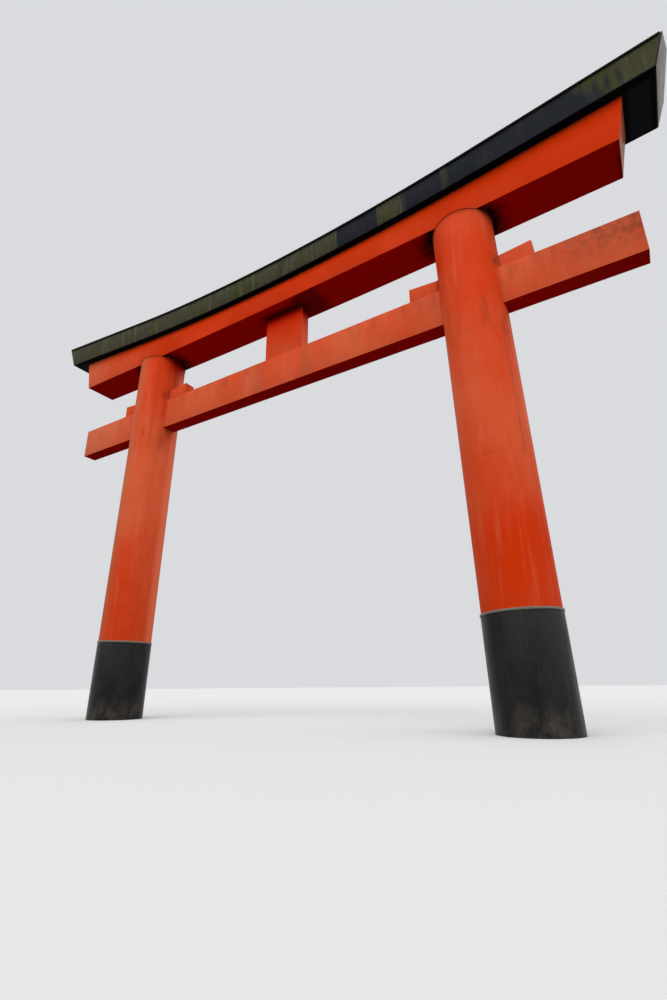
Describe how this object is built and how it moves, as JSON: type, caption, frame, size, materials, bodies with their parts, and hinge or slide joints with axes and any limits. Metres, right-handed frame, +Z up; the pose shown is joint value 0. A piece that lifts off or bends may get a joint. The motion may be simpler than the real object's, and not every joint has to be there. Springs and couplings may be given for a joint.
{
  "type": "torii gate",
  "caption": "Large painted torii gate: leaning round posts, a wedged tie beam, a lintel and a black cap beam that curves up to raked ends.",
  "frame": {"origin": "centre of the left post's flat foot, on the ground", "axes": "+X along the gate to the right post, +Z up, -Y toward the viewer of the picture"},
  "size_m": [18.9772, 1.5706, 12.9098],
  "materials": {
    "vermilion_post": "semi-gloss vermilion paint, weathered",
    "vermilion_lintel": "semi-gloss vermilion paint",
    "vermilion_faded": "faded vermilion paint, lightly streaked",
    "black_cap": "black paint with green-grey algae",
    "black_sheet": "dark painted sheet",
    "end_plate": "dark grey paint, weathered",
    "foot_black": "black paint",
    "foot_rim": "dark grey paint, worn"
  },
  "bodies": {
    "root": {"left_post": "vermilion_post", "right_post": "vermilion_post", "left_foot_band": "foot_black", "right_foot_band": "foot_black", "left_band_rim": "foot_rim", "right_band_rim": "foot_rim", "tie_beam_left": "vermilion_faded", "tie_beam_middle": "vermilion_faded", "tie_beam_right": "vermilion_faded", "left_outer_wedge": "vermilion_faded", "left_inner_wedge": "vermilion_faded", "right_inner_wedge": "vermilion_faded", "right_outer_wedge": "vermilion_faded", "centre_strut": "vermilion_faded", "lintel_left": "vermilion_lintel", "lintel_middle": "vermilion_lintel", "lintel_right": "vermilion_lintel", "cap_beam_left": "black_cap", "cap_beam_middle": "black_cap", "cap_beam_right": "black_cap", "left_end_plate": "end_plate", "right_end_plate": "end_plate", "front_roof_left": "black_sheet", "front_roof_middle": "black_sheet", "front_roof_right": "black_sheet", "back_roof_left": "black_sheet", "back_roof_middle": "black_sheet", "back_roof_right": "black_sheet", "ridge_strip_left": "black_sheet", "ridge_strip_middle": "black_sheet", "ridge_strip_right": "black_sheet"}
  },
  "joints": []
}
